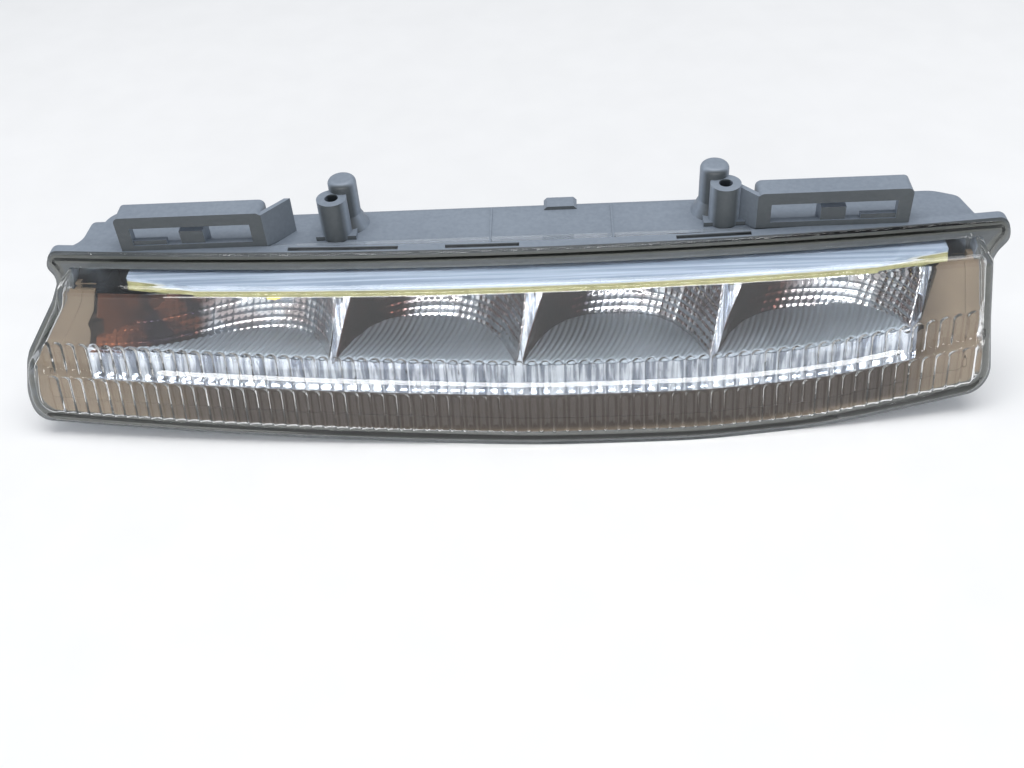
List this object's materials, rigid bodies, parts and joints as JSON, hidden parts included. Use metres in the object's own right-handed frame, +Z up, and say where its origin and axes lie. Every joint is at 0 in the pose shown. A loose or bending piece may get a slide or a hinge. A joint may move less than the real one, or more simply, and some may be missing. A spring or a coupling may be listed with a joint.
{
  "type": "daytime running light",
  "caption": "Slim bumper daytime running light: grey moulded housing with fixing bosses and locking pockets, clear fluted lens, faceted reflector cells under a plate.",
  "frame": {"origin": "midway between the two fixing bosses, on their top faces", "axes": "+X along the lamp to the right as it is looked at from the front, -Y the way the light shines, +Z up along the boss axes"},
  "size_m": [0.2686, 0.0563, 0.0653],
  "materials": {
    "grey_housing": "fine moulded texture",
    "clear_lens": "clear polished plastic",
    "seal_glue": "cured glue",
    "bright_reflector": "metallised",
    "warm_bezel": "warm metallised",
    "board_resin": "olive laminate",
    "pad_grey": "soft pad",
    "bright_plate": "satin",
    "plated_steel": "zinc plated",
    "driver_resin": "green laminate",
    "black_moulding": "moulded",
    "ferrite": "ferrite",
    "can_aluminium": "bright can",
    "tin_plate": "tin plated",
    "seal_rubber": "silicone",
    "red_sleeve": "insulation",
    "black_sleeve": "insulation",
    "cap_rubber": "moulded rubber",
    "membrane_white": "breathable film",
    "led_package": "phosphor"
  },
  "bodies": {
    "root": {"housing": "grey_housing", "lens": "clear_lens", "lens_seal": "seal_glue", "reflector": "bright_reflector", "bezel": "warm_bezel", "heat_spreader": "bright_plate", "thermal_pad": "pad_grey", "led_board": "board_resin", "led_1": "led_package", "led_2": "led_package", "led_3": "led_package", "led_4": "led_package", "board_screws": "plated_steel", "reflector_screws": "plated_steel", "driver_board": "driver_resin", "driver_chip": "black_moulding", "inductor": "ferrite", "capacitors": "can_aluminium", "driver_screws": "plated_steel", "terminals": "tin_plate", "socket_seal": "seal_rubber", "lead_red": "red_sleeve", "lead_black": "black_sleeve", "vent_cap": "cap_rubber", "vent_membrane": "membrane_white"}
  },
  "joints": []
}
